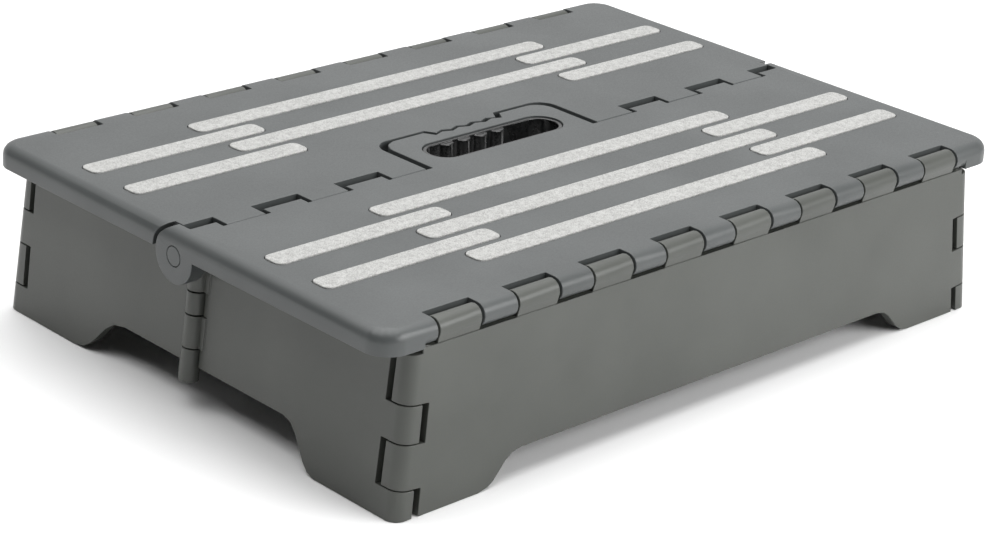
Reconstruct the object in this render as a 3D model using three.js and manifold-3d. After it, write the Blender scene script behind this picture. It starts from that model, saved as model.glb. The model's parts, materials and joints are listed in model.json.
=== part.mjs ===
// Folding step stool: two deck halves over a ring of six hinged panels.
// Millimetres, +Z up, origin on the floor below the middle of the deck.
// +X runs along the long side, the front long panel is at -Y.

import * as THREE from 'three';
import { ConvexGeometry } from 'three/addons/geometries/ConvexGeometry.js';
import { mergeVertices } from 'three/addons/utils/BufferGeometryUtils.js';
import Module from 'manifold-3d';

const wasm = await Module();
wasm.setup();

// Overall sizes
const deckLength = 480;
const deckDepth = 333;
const deckHeight = 104;
const deckThickness = 13;
const deckCornerRadius = 15;

// Clearances
const fitGap = 0.3;
const turnGap = 0.6;
const knuckleSideGap = 1.5;

// Panels of the ring
const endThickness = 6.5;
const endInset = 26;
const endLean = THREE.MathUtils.degToRad(6);
const panelTopInset = 2;
const panelSplay = 3.6;
const panelCornerRadius = 7.5;

// Places worked out from the sizes above
const halfLength = deckLength / 2;
const edgeRadius = deckThickness / 2;
const hingeY = deckDepth / 2 - edgeRadius;
const edgeAxisZ = deckHeight - edgeRadius;
const undersideZ = deckHeight - deckThickness;
const panelTopZ = undersideZ - fitGap;
const panelTopY = deckDepth / 2 - panelTopInset;
const panelInnerY = hingeY + 0.4;
const endAxisAtTop = halfLength - endInset;

// Hinge geometry shared by the deck chain and both end chains
const hingeDrop = Math.max(edgeRadius, endThickness) + 0.75;
const deckBarrelRadius = edgeRadius - 0.3;
const centreBarrelRadius = edgeRadius - 0.2;
const centreAxisZ = edgeAxisZ - hingeDrop;
const deckPinRadius = 1.8;
const panelPinRadius = 1.6;

// Knuckles of the long panels in the deck edge
const edgeKnuckleCount = 8;
const edgeKnucklePitch = 0.1125 * deckLength;
const edgeKnuckleWidth = 0.52 * edgeKnucklePitch;
const edgePinOverhang = 7;
const edgePinReach = (edgeKnuckleCount / 2 - 0.5) * edgeKnucklePitch + edgeKnuckleWidth / 2 + edgePinOverhang;
const roundedEdgeReach = edgePinReach + 3;

// Carry handle, a tongue of the front deck half
const handleShift = -2.5;
const tongueHalfWidth = 63.5;
const tongueReach = 37;
const tongueCorner = 12;
const tongueWindow = 4.3;
const tongueRearWindow = 2.6;
const slotHalfLength = 51;
const slotFront = -3.5;
const slotWidth = 26.5;
const gripWall = 2.4;
const gripTopInset = 0.8;
const gripBumpCount = 4;
const gripBumpPitch = 13.2;
const gripBumpRadius = 5.2;
const gripBumpStart = -29.4;
const gripBumpFlattening = 0.8;
const waistHalfWidth = 26;
const waistDepth = 6.5;
const waistWave = 1.2;
const waistSteps = 16;

// Fingers along the centre fold, their shoulders as reach over the axis and depth below the top
const fingerFirst = tongueHalfWidth + tongueWindow;
const fingerPitch = (halfLength - fingerFirst) / 5.97;
const fingerSeamGap = 3;
const frontFingerWindow = 5.2;
const frontShoulders = [[-2, 0], [-1, 0.7], [3.2, deckThickness - 8]];
const rearFingerReach = 8;
const rearShoulders = [[rearFingerReach - 1, 0], [rearFingerReach, 1]];
const discRadius = 15.5;
const discThickness = 9.5;
const discWindow = 2.5;
const capRadius = 5.6;
const capThickness = 1.5;

// Anti-slip strips
const stripWidth = 14.4;
const stripCorner = 4.5;
const stripThickness = 1.6;
const stripProud = 0.6;
const stripRim = 0.5;
const longStripLength = deckLength - 205;
const shortStripLength = 120.5;
const shortStripCentre = halfLength - 76;
const stripRowFirst = 41.1;
const stripRowPitch = 19;

// Openings below the panels
const longArchRise = 17.3;
const longArchTop = halfLength - 97;
const longArchFoot = halfLength - 67;
const endArchRise = 25;
const endArchFrontTop = 77;
const endArchFrontFoot = 106;
const endArchRearTop = 59;
const endArchRearFoot = 104;

// Corner and middle hinges of the end panels, heights measured down their axes
const panelDown = undersideZ / Math.cos(endLean) + 20;
const panelUp = -20;
const panelOut = 60;
const cornerLevels = [0, 30.2, 50.8, 75.4, panelDown];
const cornerReach = 5;
const cornerBarrelRadius = 5.2;
const cornerNotch = 9.2;
const cornerPinDowns = [5, 86];
const midBarrelRadius = 5.5;
const midRoofZ = centreAxisZ - centreBarrelRadius - turnGap;
const midRoofHalf = 8.5;
const midLevels = [undersideZ - midRoofZ + 0.8, 24.5, 37.5, 56.5, 76];
const pinEndGap = 0.5;
const boreEnd = 1.5;

// Underside ribs
const ribThickness = 3;
const pocketDepth = deckThickness - 4;
const pocketColumns = 10;
const pocketRows = 3;
const pocketSpan = deckLength - 24;
const pocketFirst = 16;
const pocketLast = hingeY - 12;

// Longer than any piece, the sides of a pin, and how far joined solids reach into each other
const far = 400;
const pinSides = 8;
const seamOverlap = 0.05;

const plastic = { color: 0x5c5f60, roughness: 0.5, metalness: 0 };
const looks = {
  deck: plastic,
  panel: { ...plastic, color: 0x55584f },
  strip: { color: 0xf0f0ee, roughness: 0.9, metalness: 0 },
  grip: { color: 0x101112, roughness: 0.35, metalness: 0 },
  steel: { color: 0x9a9da0, roughness: 0.35, metalness: 1 },
};

// A closed three.js geometry as a solid
function solid(geometry) {
  const bare = geometry.index ? geometry.toNonIndexed() : geometry.clone();
  bare.deleteAttribute('normal');
  bare.deleteAttribute('uv');
  const merged = mergeVertices(bare, 1e-5);
  return new wasm.Manifold(new wasm.Mesh({
    numProp: 3,
    vertProperties: new Float32Array(merged.attributes.position.array),
    triVerts: new Uint32Array(merged.index.array),
  }));
}

// A solid back as a three.js geometry
function geometryOf(shape) {
  const mesh = shape.getMesh();
  const geometry = new THREE.BufferGeometry();
  const stride = mesh.numProp;
  const count = mesh.vertProperties.length / stride;
  const positions = new Float32Array(count * 3);
  for (let i = 0; i < count; i += 1) {
    for (let k = 0; k < 3; k += 1) positions[3 * i + k] = mesh.vertProperties[stride * i + k];
  }
  geometry.setAttribute('position', new THREE.BufferAttribute(positions, 3));
  geometry.setIndex([...mesh.triVerts]);
  geometry.computeVertexNormals();
  return geometry;
}

function join(shapes) {
  return shapes.reduce((all, shape) => all.add(shape));
}

function boxGeometry(xs, ys, zs) {
  const [x0, x1] = [Math.min(...xs), Math.max(...xs)];
  const [y0, y1] = [Math.min(...ys), Math.max(...ys)];
  const [z0, z1] = [Math.min(...zs), Math.max(...zs)];
  const geometry = new THREE.BoxGeometry(x1 - x0, y1 - y0, z1 - z0);
  return geometry.translate((x0 + x1) / 2, (y0 + y1) / 2, (z0 + z1) / 2);
}

function box(xs, ys, zs) {
  return solid(boxGeometry(xs, ys, zs));
}

// Round bar along X
function barX(radius, xs, y, z, sides = 16) {
  const [x0, x1] = [Math.min(...xs), Math.max(...xs)];
  const geometry = new THREE.CylinderGeometry(radius, radius, x1 - x0, sides);
  return solid(geometry.rotateZ(Math.PI / 2).translate((x0 + x1) / 2, y, z));
}

// Outline in (y, z) drawn out along X
function prismX(shape, xs) {
  const [x0, x1] = [Math.min(...xs), Math.max(...xs)];
  const settings = { depth: x1 - x0, bevelEnabled: false, curveSegments: 6 };
  const geometry = new THREE.ExtrudeGeometry(shape, settings);
  const turn = new THREE.Matrix4().makeBasis(
    new THREE.Vector3(0, 1, 0),
    new THREE.Vector3(0, 0, 1),
    new THREE.Vector3(1, 0, 0),
  );
  return solid(geometry.applyMatrix4(turn).translate(x0, 0, 0));
}

// Outline in (x, z) drawn out along Y
function prismY(shape, ys) {
  const [y0, y1] = [Math.min(...ys), Math.max(...ys)];
  const settings = { depth: y1 - y0, bevelEnabled: false, curveSegments: 6 };
  const geometry = new THREE.ExtrudeGeometry(shape, settings);
  return solid(geometry.rotateX(Math.PI / 2).translate(0, y1, 0));
}

// Outline in (x, y) drawn out along Z
function prismZ(shape, z0, z1, curveSegments = 6) {
  const geometry = new THREE.ExtrudeGeometry(shape, { depth: z1 - z0, bevelEnabled: false, curveSegments });
  return solid(geometry.translate(0, 0, z0));
}

function polygon(points) {
  return new THREE.Shape(points.map(([u, v]) => new THREE.Vector2(u, v)));
}

function roundedRectangle(halfX, halfY, radius, centreX = 0, centreY = 0) {
  const shape = new THREE.Shape();
  const corners = [[1, -1, -0.5], [1, 1, 0], [-1, 1, 0.5], [-1, -1, 1]];
  for (const [sx, sy, turns] of corners) {
    const x = centreX + sx * (halfX - radius);
    const y = centreY + sy * (halfY - radius);
    shape.absarc(x, y, radius, turns * Math.PI, (turns + 0.5) * Math.PI, false);
  }
  shape.closePath();
  return shape;
}

// The leaning frame of an end: x outwards across the panel, z up its hinge axes
function leaningFrame(side) {
  const frame = new THREE.Matrix4().makeRotationY(-side * endLean);
  return frame.setPosition(side * endAxisAtTop, 0, undersideZ);
}

function leaningBox(side, outs, ys, downs) {
  const geometry = boxGeometry(outs.map((out) => side * out), ys, downs.map((down) => -down));
  return solid(geometry.applyMatrix4(leaningFrame(side)));
}

function leaningBarGeometry(side, radius, out, y, downs, sides = 14) {
  const [d0, d1] = [Math.min(...downs), Math.max(...downs)];
  const geometry = new THREE.CylinderGeometry(radius, radius, d1 - d0, sides).rotateX(Math.PI / 2);
  geometry.translate(side * out, y, -(d0 + d1) / 2);
  return geometry.applyMatrix4(leaningFrame(side));
}

function leaningBar(side, radius, out, y, downs, sides = 14) {
  return solid(leaningBarGeometry(side, radius, out, y, downs, sides));
}

// Deck: a slab with rounded corners and a rounded top edge
function deckSlab() {
  const shape = roundedRectangle(
    halfLength - edgeRadius,
    deckDepth / 2 - edgeRadius,
    deckCornerRadius - edgeRadius,
  );
  const geometry = new THREE.ExtrudeGeometry(shape, {
    depth: deckThickness,
    bevelThickness: edgeRadius,
    bevelSize: edgeRadius,
    bevelSegments: 4,
    curveSegments: 5,
  });
  geometry.translate(0, 0, undersideZ - edgeRadius);
  return solid(geometry).intersect(box([-far, far], [-far, far], [undersideZ, deckHeight + 1]));
}

// What the deck edge loses below its hinge axis, along the hinge, so that it turns over the panel top
function edgeUndercut(sideY) {
  const shape = new THREE.Shape();
  shape.moveTo(sideY * (hingeY + 2 * edgeRadius), edgeAxisZ);
  shape.lineTo(sideY * (hingeY + edgeRadius), edgeAxisZ);
  for (let step = 1; step <= 4; step += 1) {
    const angle = (step / 4) * (Math.PI / 2);
    shape.lineTo(sideY * (hingeY + edgeRadius * Math.cos(angle)), edgeAxisZ - edgeRadius * Math.sin(angle));
  }
  shape.lineTo(sideY * hingeY, edgeAxisZ - 2 * edgeRadius);
  shape.lineTo(sideY * (hingeY + 2 * edgeRadius), edgeAxisZ - 2 * edgeRadius);
  shape.closePath();
  return prismX(shape, [-roundedEdgeReach, roundedEdgeReach]);
}

function edgeKnuckleCentres() {
  const middle = (edgeKnuckleCount - 1) / 2;
  return Array.from({ length: edgeKnuckleCount }, (_, i) => (i - middle) * edgeKnucklePitch);
}

// Notches in the deck edge for the knuckles of a long panel
function edgeNotches(sideY) {
  const half = edgeKnuckleWidth / 2 + knuckleSideGap;
  const ys = [sideY * (hingeY - deckBarrelRadius - turnGap), sideY * far];
  return join(edgeKnuckleCentres().map((x) => box([x - half, x + half], ys, [0, far])));
}

function edgePinBore(sideY) {
  const reach = edgePinReach + 1;
  return barX(deckPinRadius + fitGap, [-reach, reach], sideY * hingeY, edgeAxisZ, pinSides);
}

// Start and end of each finger beyond the handle, rear and front half in turn
function fingerSpans(ofFront, side) {
  const spans = [];
  for (let i = 0; i < 6; i += 1) {
    const isFront = i % 2 === 1;
    if (isFront !== ofFront) continue;
    const start = fingerFirst + (i === 0 ? side * handleShift : i * fingerPitch + fingerSeamGap / 2);
    const end = i === 5 ? halfLength : fingerFirst + (i + 1) * fingerPitch - fingerSeamGap / 2;
    spans.push([start, end]);
  }
  return spans;
}

// Finger section: from its own half over the fold axis, with the barrel below
function fingerSection(toward, shoulders) {
  const root = -toward * pocketFirst;
  return polygon([
    [root, undersideZ],
    [root, deckHeight],
    ...shoulders.map(([reach, below]) => [toward * reach, deckHeight - below]),
    [toward * centreBarrelRadius * 0.94, centreAxisZ + centreBarrelRadius * 0.34],
    [0, undersideZ],
  ]);
}

function finger(toward, shoulders, span, side) {
  const xs = span.map((x) => side * x);
  return prismX(fingerSection(toward, shoulders), xs).add(barX(centreBarrelRadius, xs, 0, centreAxisZ));
}

// Hand slot outline, grown by a margin
function slotOutline(margin) {
  const radius = slotWidth / 2 + margin;
  const centreY = slotFront + slotWidth / 2;
  return roundedRectangle(slotHalfLength + margin, radius, radius - 0.01, handleShift, centreY);
}

// Tongue outline with the waisted rear edge, grown by a margin
function tongueOutline(front, sideMargin, rearMargin) {
  const half = tongueHalfWidth + sideMargin;
  const rear = tongueReach + rearMargin;
  const waist = rear - waistDepth;
  const shoulder = waistHalfWidth - rearMargin;
  const [left, right] = [handleShift - half, handleShift + half];
  const cornerY = rear - tongueCorner;
  const shape = new THREE.Shape();
  shape.moveTo(right, front);
  shape.lineTo(right, cornerY);
  shape.absarc(right - tongueCorner, cornerY, tongueCorner, 0, Math.PI / 2, false);
  shape.lineTo(handleShift + shoulder + 4, rear);
  for (let step = 0; step <= waistSteps; step += 1) {
    const turn = step / waistSteps;
    const x = handleShift + shoulder - turn * 2 * shoulder;
    shape.lineTo(x, waist + waistWave * (1 - Math.cos(turn * gripBumpCount * 2 * Math.PI)));
  }
  shape.lineTo(handleShift - shoulder - 4, rear);
  shape.absarc(left + tongueCorner, cornerY, tongueCorner, Math.PI / 2, Math.PI, false);
  shape.lineTo(left, front);
  shape.closePath();
  return shape;
}

// Hanging disc that closes the fold line at one end
function endDisc(side, slab) {
  const xs = [side * (halfLength - discThickness), side * halfLength];
  const disc = barX(discRadius, xs, 0, centreAxisZ, 28);
  const below = disc.intersect(box([-far, far], [-far, far], [0, undersideZ]));
  return below.add(disc.intersect(slab));
}

// Shallow seats for the strips of one half
function stripSeats(isFront) {
  return join(stripPlaces().filter((place) => place.isFront === isFront).map((place) => {
    const outline = roundedRectangle(
      place.length / 2 + stripRim,
      stripWidth / 2 + stripRim,
      stripCorner + stripRim,
      place.x,
      place.y,
    );
    return prismZ(outline, deckHeight + stripProud - stripThickness - fitGap, deckHeight + 1, 2);
  }));
}

function stripPlaces() {
  const places = [];
  for (const [half, rows, isFront] of [['front', 5, true], ['rear', 4, false]]) {
    for (let row = 0; row < rows; row += 1) {
      const index = isFront ? row : row + 1;
      const y = (isFront ? -1 : 1) * (stripRowFirst + index * stripRowPitch);
      if (index % 2 === 0) {
        places.push({ name: `strip_${half}_${row + 1}`, x: 0, y, length: longStripLength, isFront });
        continue;
      }
      for (const [label, side] of [['left', -1], ['right', 1]]) {
        const name = `strip_${half}_${row + 1}_${label}`;
        places.push({ name, x: side * shortStripCentre, y, length: shortStripLength, isFront });
      }
    }
  }
  return places;
}

// Pockets between the underside ribs
function underPockets(sideY) {
  const columnPitch = pocketSpan / pocketColumns;
  const rowPitch = (pocketLast - pocketFirst + ribThickness) / pocketRows;
  const pockets = [];
  for (let column = 0; column < pocketColumns; column += 1) {
    const x = (column - pocketColumns / 2) * columnPitch;
    const nearHandle = Math.min(Math.abs(x), Math.abs(x + columnPitch)) < tongueHalfWidth + tongueWindow;
    for (let row = 0; row < pocketRows; row += 1) {
      if (sideY > 0 && row === 0 && nearHandle) continue;
      const y = pocketFirst + row * rowPitch;
      pockets.push(box(
        [x + ribThickness / 2, x + columnPitch - ribThickness / 2],
        [sideY * y, sideY * (y + rowPitch - ribThickness)],
        [0, undersideZ + pocketDepth],
      ));
    }
  }
  return join(pockets);
}

function deckFront(slab) {
  let half = slab.intersect(box([-far, far], [-far, -rearFingerReach - fitGap], [0, far]));
  half = half.subtract(underPockets(-1));
  const tongue = prismZ(tongueOutline(-pocketFirst, 0, 0), undersideZ, deckHeight);
  half = half.add(tongue);
  const belowDeck = box([-far, far], [-far, far], [0, undersideZ + seamOverlap]);
  for (const side of [-1, 1]) {
    const tongueEnd = handleShift + side * tongueHalfWidth;
    const barrelXs = [handleShift + side * (slotHalfLength + 1), tongueEnd];
    half = half.add(barX(centreBarrelRadius, barrelXs, 0, centreAxisZ));
    for (const span of fingerSpans(true, side)) {
      const piece = finger(1, frontShoulders, span, side);
      half = half.add(piece.intersect(slab)).add(piece.intersect(belowDeck));
    }
    half = half.add(endDisc(side, slab));
    const capSeat = [side * (halfLength - capThickness - fitGap), side * far];
    half = half.subtract(barX(capRadius + fitGap, capSeat, 0, centreAxisZ));
  }
  half = half.subtract(prismZ(slotOutline(0), 0, far));
  half = half.subtract(edgeUndercut(-1)).subtract(edgeNotches(-1)).subtract(edgePinBore(-1));
  return half.subtract(centreBores()).subtract(stripSeats(true));
}

function deckRear(slab) {
  let half = slab.intersect(box([-far, far], [frontFingerWindow, far], [0, far]));
  half = half.subtract(underPockets(1));
  for (const side of [-1, 1]) {
    for (const [start, end] of fingerSpans(true, side)) {
      const xs = [side * (start - fingerSeamGap), side * (end + fingerSeamGap)];
      half = half.subtract(barX(centreBarrelRadius + turnGap, xs, 0, centreAxisZ));
    }
    for (const span of fingerSpans(false, side)) half = half.add(finger(-1, rearShoulders, span, side));
    const inner = side * (halfLength - discThickness - turnGap);
    half = half.subtract(barX(discRadius + discWindow, [inner, side * far], 0, centreAxisZ, 28));
  }
  half = half.subtract(prismZ(tongueOutline(-far, tongueWindow, tongueRearWindow), 0, far));
  half = half.subtract(edgeUndercut(1)).subtract(edgeNotches(1)).subtract(edgePinBore(1));
  return half.subtract(centreBores()).subtract(stripSeats(false));
}

function centreBores() {
  return join([-1, 1].map((side) => {
    const xs = [centrePinStart(side) - side * pinEndGap, side * far];
    return barX(deckPinRadius + fitGap, xs, 0, centreAxisZ, pinSides);
  }));
}

function centrePinStart(side) {
  return handleShift + side * (slotHalfLength + 3.5);
}

// The outer surface of the ring of panels: splayed faces and round corners
function ringEnvelope() {
  const endTopX = endAxisAtTop + endThickness / Math.cos(endLean);
  const endFootX = endTopX + undersideZ * Math.tan(endLean);
  const points = [];
  for (const [halfX, halfY, z] of [[endTopX, panelTopY, undersideZ], [endFootX, panelTopY + panelSplay, 0]]) {
    const outline = roundedRectangle(halfX, halfY, panelCornerRadius).getPoints(4);
    for (const point of outline) points.push(new THREE.Vector3(point.x, point.y, z));
  }
  const cut = box([-far, far], [-far, far], [0, panelTopZ]);
  return solid(new ConvexGeometry(points)).intersect(cut);
}

// Levels of a corner hinge that belong to the long panel, or to the end panel
function cornerBands(ofLongPanel) {
  const bands = [];
  for (let i = 0; i < 4; i += 1) {
    if ((i % 2 === 0) !== ofLongPanel) continue;
    const top = i === 0 ? panelUp : cornerLevels[i] + turnGap / 2;
    const bottom = i === 3 ? cornerLevels[4] : cornerLevels[i + 1] - turnGap / 2;
    bands.push([top, bottom]);
  }
  return bands;
}

function cornerBore(side, sideY) {
  const downs = [cornerPinDowns[0] - boreEnd, cornerPinDowns[1] + boreEnd];
  return leaningBar(side, panelPinRadius + fitGap, 0, sideY * hingeY, downs, pinSides);
}

// Opening below a panel, an S curve up from each foot
function archOutline(leftFoot, leftTop, rightTop, rightFoot, rise) {
  const shape = new THREE.Shape();
  shape.moveTo(leftFoot, -10);
  shape.lineTo(leftFoot, 0);
  const leftMiddle = (leftFoot + leftTop) / 2;
  shape.bezierCurveTo(leftMiddle, 0, leftMiddle, rise, leftTop, rise);
  shape.lineTo(rightTop, rise);
  const rightMiddle = (rightFoot + rightTop) / 2;
  shape.bezierCurveTo(rightMiddle, rise, rightMiddle, 0, rightFoot, 0);
  shape.lineTo(rightFoot, -10);
  shape.closePath();
  return shape;
}

// Knuckle of a long panel: a barrel in the deck edge on a flush foot
function edgeKnuckleSection(sideY) {
  const outer = sideY * (hingeY + deckBarrelRadius);
  return polygon([
    [outer, edgeAxisZ],
    [sideY * (hingeY + 0.9 * deckBarrelRadius), edgeAxisZ - 0.44 * deckBarrelRadius],
    [sideY * (panelTopY - 0.2), panelTopZ - 0.5],
    [sideY * (panelTopY - 0.2), panelTopZ - 6],
    [sideY * panelInnerY, panelTopZ - 6],
    [sideY * panelInnerY, edgeAxisZ],
  ]);
}

function longPanel(sideY, envelope) {
  const outerY = sideY * far;
  const wallYs = [sideY * panelInnerY, outerY];
  const middle = endAxisAtTop - panelOut;
  let panel = box([-middle, middle], wallYs, [0, far]);
  for (const side of [-1, 1]) {
    panel = panel.add(leaningBox(side, [-1.5 * panelOut, -cornerNotch], wallYs, [panelUp, panelDown]));
    for (const downs of cornerBands(true)) {
      panel = panel.add(leaningBox(side, [-cornerNotch - 1, 0], wallYs, downs));
      panel = panel.add(leaningBox(side, [0, panelOut], [sideY * (hingeY - cornerReach), outerY], downs));
      panel = panel.add(leaningBar(side, cornerBarrelRadius, 0, sideY * hingeY, downs));
    }
  }
  panel = panel.intersect(envelope);
  const reliefZ = edgeAxisZ - Math.SQRT2 * edgeRadius - turnGap;
  for (const side of [-1, 1]) {
    const reliefXs = [side * (roundedEdgeReach - turnGap), side * far];
    panel = panel.subtract(box(reliefXs, [0, outerY], [reliefZ, far]));
  }
  const half = edgeKnuckleWidth / 2;
  for (const x of edgeKnuckleCentres()) {
    panel = panel.add(prismX(edgeKnuckleSection(sideY), [x - half, x + half]));
    panel = panel.add(barX(deckBarrelRadius, [x - half, x + half], sideY * hingeY, edgeAxisZ));
  }
  const arch = archOutline(-longArchFoot, -longArchTop, longArchTop, longArchFoot, longArchRise);
  panel = panel.subtract(prismY(arch, [sideY * (hingeY - 30), outerY]));
  for (const side of [-1, 1]) panel = panel.subtract(cornerBore(side, sideY));
  return panel.subtract(edgePinBore(sideY));
}

function endArch() {
  const [foot, top] = [-endArchFrontFoot, -endArchFrontTop];
  return prismX(archOutline(foot, top, endArchRearTop, endArchRearFoot, endArchRise), [-far, far]);
}

// Levels of the middle hinge that belong to the front or the rear end panel
function midBands(ofFront) {
  const bands = [];
  for (let i = 0; i < midLevels.length - 1; i += 1) {
    if ((i % 2 === 0) === ofFront) bands.push([midLevels[i] + turnGap / 2, midLevels[i + 1] - turnGap / 2]);
  }
  return bands;
}

function endPanel(side, sideY, envelope) {
  const outs = [0, panelOut];
  const wallEnd = midBarrelRadius + turnGap;
  const wallYs = [sideY * (hingeY - cornerNotch), sideY * wallEnd];
  let panel = leaningBox(side, outs, wallYs, [panelUp, panelDown]);
  for (const downs of cornerBands(false)) {
    panel = panel.add(leaningBox(side, outs, [sideY * (hingeY - cornerNotch - 1), sideY * hingeY], downs));
    panel = panel.add(leaningBox(side, [-cornerReach, panelOut], [sideY * hingeY, sideY * far], downs));
    panel = panel.add(leaningBar(side, cornerBarrelRadius, 0, sideY * hingeY, downs));
  }
  panel = panel.intersect(envelope).subtract(endArch());
  for (const downs of midBands(sideY < 0)) {
    panel = panel.add(leaningBox(side, [0, hingeDrop], [sideY * (wallEnd + 3), 0], downs));
    panel = panel.add(leaningBar(side, midBarrelRadius, hingeDrop, 0, downs, 16));
  }
  panel = panel.subtract(box([0, side * far], [-midRoofHalf, midRoofHalf], [midRoofZ, far]));
  panel = panel.subtract(cornerBore(side, sideY));
  const downs = [midLevels[0] + boreEnd, midLevels[midLevels.length - 1] - boreEnd];
  return panel.subtract(leaningBar(side, panelPinRadius + fitGap, hingeDrop, 0, downs, pinSides));
}

// Soft lining of the hand slot with bumps between the fingers on its rear wall
function handleGrip() {
  const outer = prismZ(slotOutline(-fitGap), undersideZ, deckHeight - gripTopInset);
  let ring = outer.subtract(prismZ(slotOutline(-fitGap - gripWall), 0, far));
  const rearWall = slotFront + slotWidth - fitGap - gripWall;
  const bumpHeight = deckThickness - 2 * gripTopInset;
  for (let i = 0; i < gripBumpCount; i += 1) {
    const x = gripBumpStart + i * gripBumpPitch;
    const bump = new THREE.CylinderGeometry(gripBumpRadius, gripBumpRadius, bumpHeight, 12);
    bump.rotateX(Math.PI / 2).scale(1, gripBumpFlattening, 1);
    bump.translate(x, rearWall + 1, undersideZ + bumpHeight / 2);
    ring = ring.add(solid(bump).intersect(box([-far, far], [-far, rearWall + 1], [0, far])));
  }
  return ring;
}

const group = new THREE.Group();

function addPiece(name, shape, look) {
  const material = new THREE.MeshStandardMaterial(looks[look]);
  const mesh = new THREE.Mesh(shape.isBufferGeometry ? shape : geometryOf(shape), material);
  mesh.name = name;
  group.add(mesh);
}

function pinAlongX(radius, xs, y, z) {
  const [x0, x1] = [Math.min(...xs), Math.max(...xs)];
  const geometry = new THREE.CylinderGeometry(radius, radius, x1 - x0, pinSides);
  return geometry.rotateZ(Math.PI / 2).translate((x0 + x1) / 2, y, z);
}

const slab = deckSlab();
const envelope = ringEnvelope();
const sides = [['left', -1], ['right', 1]];
const rows = [['front', -1], ['rear', 1]];

addPiece('deck_front', deckFront(slab), 'deck');
addPiece('deck_rear', deckRear(slab), 'deck');
addPiece('handle_grip', handleGrip(), 'grip');

for (const [row, sideY] of rows) {
  addPiece(`${row}_panel`, longPanel(sideY, envelope), 'panel');
  const pinXs = [-edgePinReach, edgePinReach];
  addPiece(`${row}_deck_pin`, pinAlongX(deckPinRadius, pinXs, sideY * hingeY, edgeAxisZ), 'steel');
}

for (const [label, side] of sides) {
  for (const [row, sideY] of rows) {
    addPiece(`${label}_end_${row}`, endPanel(side, sideY, envelope), 'panel');
    const cornerPin = leaningBarGeometry(side, panelPinRadius, 0, sideY * hingeY, cornerPinDowns, pinSides);
    addPiece(`${label}_${row}_corner_pin`, cornerPin, 'steel');
  }
  const inset = boreEnd + pinEndGap;
  const downs = [midLevels[0] + inset, midLevels[midLevels.length - 1] - inset];
  const middlePin = leaningBarGeometry(side, panelPinRadius, hingeDrop, 0, downs, pinSides);
  addPiece(`${label}_middle_pin`, middlePin, 'steel');
  const pinXs = [centrePinStart(side), side * (halfLength - capThickness - 1)];
  addPiece(`${label}_centre_pin`, pinAlongX(deckPinRadius, pinXs, 0, centreAxisZ), 'steel');
  const capXs = [side * (halfLength - capThickness), side * halfLength];
  addPiece(`${label}_pin_cap`, barX(capRadius, capXs, 0, centreAxisZ), 'deck');
}

for (const place of stripPlaces()) {
  const outline = roundedRectangle(place.length / 2, stripWidth / 2, stripCorner, place.x, place.y);
  const base = deckHeight + stripProud - stripThickness;
  addPiece(place.name, prismZ(outline, base, deckHeight + stripProud, 2), 'strip');
}

export default group;
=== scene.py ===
import json
import math

import bpy
from mathutils import Matrix, Vector


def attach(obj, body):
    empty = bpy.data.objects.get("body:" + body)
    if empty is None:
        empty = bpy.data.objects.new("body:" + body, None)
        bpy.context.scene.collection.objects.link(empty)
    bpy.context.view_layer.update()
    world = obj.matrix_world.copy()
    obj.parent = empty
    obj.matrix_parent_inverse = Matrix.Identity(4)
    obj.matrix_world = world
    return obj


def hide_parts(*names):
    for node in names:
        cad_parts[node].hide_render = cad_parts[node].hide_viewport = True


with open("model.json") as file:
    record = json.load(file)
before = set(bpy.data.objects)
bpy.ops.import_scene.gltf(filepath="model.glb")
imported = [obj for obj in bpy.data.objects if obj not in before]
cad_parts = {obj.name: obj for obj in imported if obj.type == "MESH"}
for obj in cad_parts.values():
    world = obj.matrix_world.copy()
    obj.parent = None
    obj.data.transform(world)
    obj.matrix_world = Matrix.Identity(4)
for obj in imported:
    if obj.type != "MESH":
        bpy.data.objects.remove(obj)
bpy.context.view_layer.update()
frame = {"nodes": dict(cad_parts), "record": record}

mm = 0.001
record = frame["record"]
bodyOf = {node: body for body, nodes in record["behaviour"]["bodies"].items() for node in nodes}


# ---- camera, floor and lights

studio = {
    "cameraPlace": (-1.05751, -1.06923, 0.65253),
    "cameraRight": (0.72708, -0.68440, 0.05366),
    "cameraUp": (0.22897, 0.31550, 0.92087),
    "cameraBack": (-0.64714, -0.65727, 0.38616),
    "lens": 101.22,
    "sensor": 36,
    "floorSize": 12.0,
    "floorGap": 0.0002,  # keeps the floor just below the feet
    "floorColour": "#f6f6f6",
    "skyColour": "#ffffff",
    "skyDark": 0.03,  # strength on the left and front side
    "skyBright": 0.95,  # strength behind and to the right, seen as sheen on the deck
}

softBoxes = [
    # name, place, aims at, width, height, watts
    ("topBox", (-0.1, 0.2, 2.0), (-0.1, 0, 0.1), 3.0, 2.6, 70),
    ("frontBox", (0.9, -2.1, 1.1), (0, -0.1, 0.05), 1.8, 1.3, 52),
]


def addCamera():
    data = bpy.data.cameras.new("camera")
    camera = bpy.data.objects.new("camera", data)
    bpy.context.scene.collection.objects.link(camera)
    data.lens = studio["lens"]
    data.sensor_width = studio["sensor"]
    data.clip_start = 0.05
    data.clip_end = 50
    axes = Matrix((studio["cameraRight"], studio["cameraUp"], studio["cameraBack"])).transposed()
    camera.matrix_world = Matrix.Translation(studio["cameraPlace"]) @ axes.to_4x4()
    bpy.context.scene.camera = camera


def addSoftBox(name, place, target, width, height, watts):
    data = bpy.data.lights.new(name, "AREA")
    data.shape = "RECTANGLE"
    data.size = width
    data.size_y = height
    data.energy = watts
    light = bpy.data.objects.new(name, data)
    bpy.context.scene.collection.objects.link(light)
    light.location = place
    light.rotation_euler = (Vector(target) - Vector(place)).to_track_quat("-Z", "Y").to_euler()


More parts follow.
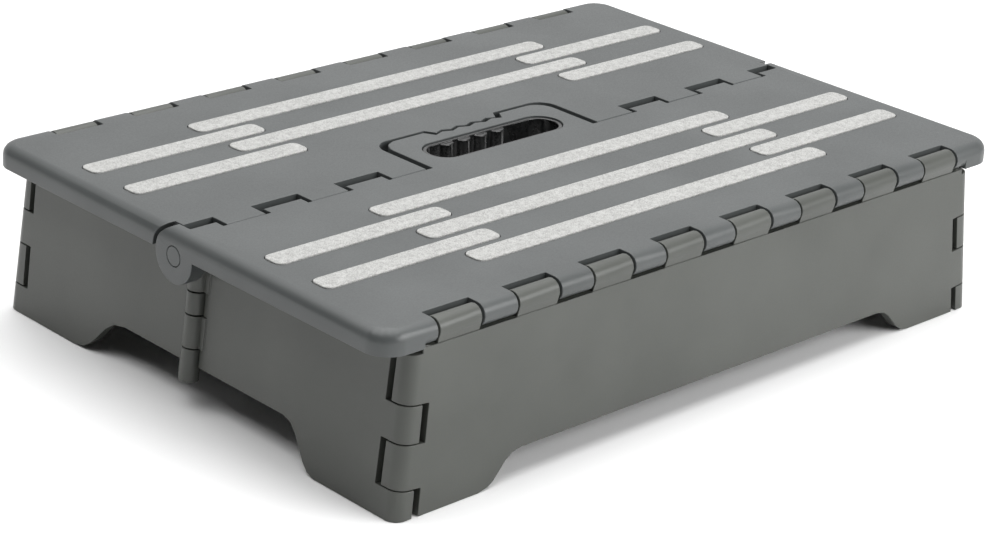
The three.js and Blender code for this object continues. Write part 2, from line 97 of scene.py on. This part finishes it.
def addFloor():
    bpy.ops.object.select_all(action="DESELECT")
    bpy.ops.mesh.primitive_plane_add(size=studio["floorSize"], location=(0, 0, -studio["floorGap"]))
    floor = bpy.context.object
    floor.name = "floor"
    floor.data.materials.append(paperSweep())


def addSky():
    world = bpy.data.worlds.new("studio")
    world.use_nodes = True
    tree = world.node_tree
    sky = tree.nodes["Background"]
    sky.inputs["Color"].default_value = linear(studio["skyColour"])
    way = addNode(tree, "ShaderNodeTexCoord").outputs["Generated"]
    axes = addNode(tree, "ShaderNodeSeparateXYZ", {}, {"Vector": way})
    side = addNode(tree, "ShaderNodeMath", {"operation": "ADD"})
    tree.links.new(axes.outputs["X"], side.inputs[0])
    tree.links.new(axes.outputs["Y"], side.inputs[1])
    strength = addNode(
        tree,
        "ShaderNodeMapRange",
        {"From Min": -0.6, "From Max": 1.3, "To Min": studio["skyDark"], "To Max": studio["skyBright"]},
        {"Value": side.outputs["Value"]},
    )
    tree.links.new(strength.outputs["Result"], sky.inputs["Strength"])
    bpy.context.scene.world = world


# ---- materials

def linear(hexColour):
    parts = [int(hexColour[i:i + 2], 16) / 255 for i in (1, 3, 5)]
    return tuple([p / 12.92 if p <= 0.04045 else ((p + 0.055) / 1.055) ** 2.4 for p in parts] + [1.0])


def addNode(tree, kind, settings=None, links=None):
    node = tree.nodes.new(kind)
    for key, value in (settings or {}).items():
        if key in node.inputs:
            node.inputs[key].default_value = value
        else:
            setattr(node, key, value)
    for socket, source in (links or {}).items():
        tree.links.new(source, node.inputs[socket])
    return node


def newMaterial(name, settings):
    material = bpy.data.materials.new(name)
    material.use_nodes = True
    tree = material.node_tree
    shader = tree.nodes["Principled BSDF"]
    for key, value in settings.items():
        shader.inputs[key].default_value = value
    place = addNode(tree, "ShaderNodeTexCoord").outputs["Object"]
    return material, tree, shader, place


def paperSweep():
    # matt white sweep paper
    paint = {"Base Color": linear(studio["floorColour"]), "Roughness": 0.9, "Specular IOR Level": 0.2}
    return newMaterial("paperSweep", paint)[0]


def mixHex(tree, factor, first, second):
    mix = addNode(tree, "ShaderNodeMix", {"data_type": "RGBA"})
    mix.inputs[6].default_value = linear(first)
    mix.inputs[7].default_value = linear(second)
    tree.links.new(factor, mix.inputs[0])
    return mix.outputs[2]


def mouldedPlastic(name, look):
    # injection moulded polypropylene: spark-eroded grain gives a soft satin sheen with faint mottling
    material, tree, shader, place = newMaterial(name, {"IOR": 1.49, "Specular IOR Level": 0.5})
    mottleScale = 1 / (look["mottleMm"] * mm)
    mottle = addNode(tree, "ShaderNodeTexNoise", {"Scale": mottleScale, "Detail": 3.0}, {"Vector": place})
    shadeRange = {"From Min": 0.35, "From Max": 0.65}
    shade = addNode(tree, "ShaderNodeMapRange", shadeRange, {"Value": mottle.outputs["Fac"]})
    colour = mixHex(tree, shade.outputs["Result"], look["dark"], look["light"])
    tree.links.new(colour, shader.inputs["Base Color"])
    grainScale = 1 / (look["grainMm"] * mm)
    grain = addNode(tree, "ShaderNodeTexNoise", {"Scale": grainScale, "Detail": 2.0}, {"Vector": place})
    roughRange = {"From Min": 0.3, "From Max": 0.7, "To Min": look["roughLow"], "To Max": look["roughHigh"]}
    rough = addNode(tree, "ShaderNodeMapRange", roughRange, {"Value": grain.outputs["Fac"]})
    tree.links.new(rough.outputs["Result"], shader.inputs["Roughness"])
    relief = {"Strength": look["grainStrength"], "Distance": look["grainDepthMm"] * mm}
    bump = addNode(tree, "ShaderNodeBump", relief, {"Height": grain.outputs["Fac"]})
    tree.links.new(bump.outputs["Normal"], shader.inputs["Normal"])
    return material


tapeLook = {"gritMm": 0.8, "cloudMm": 3.2, "dark": "#929290", "light": "#b6b6b4",
            "gritStrength": 0.5, "gritDepthMm": 0.4}


def gritTape(name):
    # mineral-coated vinyl tape: white grains in clear binder, matt and sandy
    material, tree, shader, place = newMaterial(name, {"Roughness": 0.85, "IOR": 1.5})
    gritScale = 1 / (tapeLook["gritMm"] * mm)
    grit = addNode(tree, "ShaderNodeTexVoronoi", {"Scale": gritScale}, {"Vector": place})
    cloudScale = 1 / (tapeLook["cloudMm"] * mm)
    cloud = addNode(tree, "ShaderNodeTexNoise", {"Scale": cloudScale, "Detail": 4.0}, {"Vector": place})
    both = addNode(tree, "ShaderNodeMath", {"operation": "MULTIPLY"})
    tree.links.new(grit.outputs["Distance"], both.inputs[0])
    tree.links.new(cloud.outputs["Fac"], both.inputs[1])
    shadeRange = {"From Min": 0.05, "From Max": 0.4}
    shade = addNode(tree, "ShaderNodeMapRange", shadeRange, {"Value": both.outputs["Value"]})
    colour = mixHex(tree, shade.outputs["Result"], tapeLook["light"], tapeLook["dark"])
    tree.links.new(colour, shader.inputs["Base Color"])
    relief = {"Strength": tapeLook["gritStrength"], "Distance": tapeLook["gritDepthMm"] * mm}
    bump = addNode(tree, "ShaderNodeBump", relief, {"Height": grit.outputs["Distance"]})
    tree.links.new(bump.outputs["Normal"], shader.inputs["Normal"])
    return material


gripLook = {"dark": "#0b0c0c", "light": "#161717", "coat": 0.25, "smearMm": 6,
            "roughLow": 0.2, "roughHigh": 0.38}


def softTouch(name):
    # black thermoplastic elastomer lining, polished by hands, so it catches small bright lights
    gloss = {"IOR": 1.5, "Coat Weight": gripLook["coat"], "Coat Roughness": 0.15}
    material, tree, shader, place = newMaterial(name, gloss)
    smearScale = 1 / (gripLook["smearMm"] * mm)
    smear = addNode(tree, "ShaderNodeTexNoise", {"Scale": smearScale, "Detail": 3.0}, {"Vector": place})
    roughRange = {
        "From Min": 0.3,
        "From Max": 0.7,
        "To Min": gripLook["roughLow"],
        "To Max": gripLook["roughHigh"],
    }
    rough = addNode(tree, "ShaderNodeMapRange", roughRange, {"Value": smear.outputs["Fac"]})
    tree.links.new(rough.outputs["Result"], shader.inputs["Roughness"])
    colour = mixHex(tree, smear.outputs["Fac"], gripLook["dark"], gripLook["light"])
    tree.links.new(colour, shader.inputs["Base Color"])
    return material


wireLook = {"dark": "#8b8e90", "light": "#b2b5b6", "lineMm": 0.4, "stretch": 0.05}


def drawnSteel(name):
    # zinc-plated drawn wire with fine lines along its length
    material, tree, shader, place = newMaterial(name, {"Metallic": 1.0, "Roughness": 0.35})
    stretch = addNode(tree, "ShaderNodeMapping", {"Scale": (wireLook["stretch"], 1, 1)}, {"Vector": place})
    lineScale = 1 / (wireLook["lineMm"] * mm)
    linePlace = stretch.outputs["Vector"]
    lines = addNode(tree, "ShaderNodeTexNoise", {"Scale": lineScale, "Detail": 2.0}, {"Vector": linePlace})
    colour = mixHex(tree, lines.outputs["Fac"], wireLook["dark"], wireLook["light"])
    tree.links.new(colour, shader.inputs["Base Color"])
    return material


plasticLooks = {
    "deck": {"dark": "#424545", "light": "#4a4d4d", "mottleMm": 60, "grainMm": 0.7,
             "roughLow": 0.32, "roughHigh": 0.46, "grainStrength": 0.16, "grainDepthMm": 0.1},
    "panel": {"dark": "#41433f", "light": "#494b47", "mottleMm": 70, "grainMm": 0.7,
              "roughLow": 0.32, "roughHigh": 0.46, "grainStrength": 0.16, "grainDepthMm": 0.1},
}


# ---- pieces

cleanUp = {"mergeMm": 0.002, "flatAngle": 1.5, "smoothAngle": 40}


def roundedCopy(node, name, material, edge):
    # the CAD solid with its sharp edges broken, as a mould leaves them
    source = frame["nodes"][node]
    piece = bpy.data.objects.new(name, source.data.copy())
    bpy.context.scene.collection.objects.link(piece)
    bpy.ops.object.select_all(action="DESELECT")
    bpy.context.view_layer.objects.active = piece
    piece.select_set(True)
    bpy.ops.object.mode_set(mode="EDIT")
    bpy.ops.mesh.select_all(action="SELECT")
    bpy.ops.mesh.remove_doubles(threshold=cleanUp["mergeMm"] * mm)
    flatLimit = math.radians(cleanUp["flatAngle"])
    bpy.ops.mesh.dissolve_limited(angle_limit=flatLimit, use_dissolve_boundaries=False)
    bpy.ops.mesh.quads_convert_to_tris(quad_method="BEAUTY", ngon_method="BEAUTY")
    bpy.ops.mesh.select_all(action="DESELECT")
    bpy.ops.object.mode_set(mode="OBJECT")
    bevel = piece.modifiers.new("edges", "BEVEL")
    bevel.limit_method = "ANGLE"
    bevel.angle_limit = math.radians(edge["fromAngle"])
    bevel.width = edge["width"] * mm
    bevel.segments = edge["segments"]
    bevel.use_clamp_overlap = False
    bevel.miter_outer = "MITER_ARC"
    bpy.ops.object.modifier_apply(modifier="edges")
    bpy.ops.object.shade_smooth_by_angle(angle=math.radians(cleanUp["smoothAngle"]))
    flat = piece.modifiers.new("flat", "WEIGHTED_NORMAL")
    flat.keep_sharp = True
    bpy.ops.object.modifier_apply(modifier="flat")
    piece.data.materials.clear()
    piece.data.materials.append(material)
    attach(piece, bodyOf[node])
    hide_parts(node)


slotOf = {part["node"]: part["material_slot"] for part in record["subparts"]}
edgeLooks = {
    "deck_plastic": {"width": 0.4, "segments": 2, "fromAngle": 32},
    "panel_plastic": {"width": 0.4, "segments": 2, "fromAngle": 32},
    "grip_strip": {"width": 0.45, "segments": 2, "fromAngle": 32},
    "soft_grip": {"width": 0.6, "segments": 3, "fromAngle": 40},
    "steel_pin": {"width": 0.35, "segments": 2, "fromAngle": 50},
}


addSky()
addFloor()
for box in softBoxes:
    addSoftBox(*box)
addCamera()
bpy.context.scene.view_settings.view_transform = "Standard"

deckPlastic = mouldedPlastic("mouldedPolypropyleneDeck", plasticLooks["deck"])
panelPlastic = mouldedPlastic("mouldedPolypropylenePanel", plasticLooks["panel"])
tape = gritTape("mineralGripTape")
grip = softTouch("softTouchElastomer")
steel = drawnSteel("drawnSteelWire")
finishFor = {"deck_plastic": deckPlastic, "panel_plastic": panelPlastic, "grip_strip": tape,
             "soft_grip": grip, "steel_pin": steel}

for node, body in bodyOf.items():
    slot = slotOf[node]
    roundedCopy(node, node + "_finished", finishFor[slot], edgeLooks[slot])
print("pieces finished")
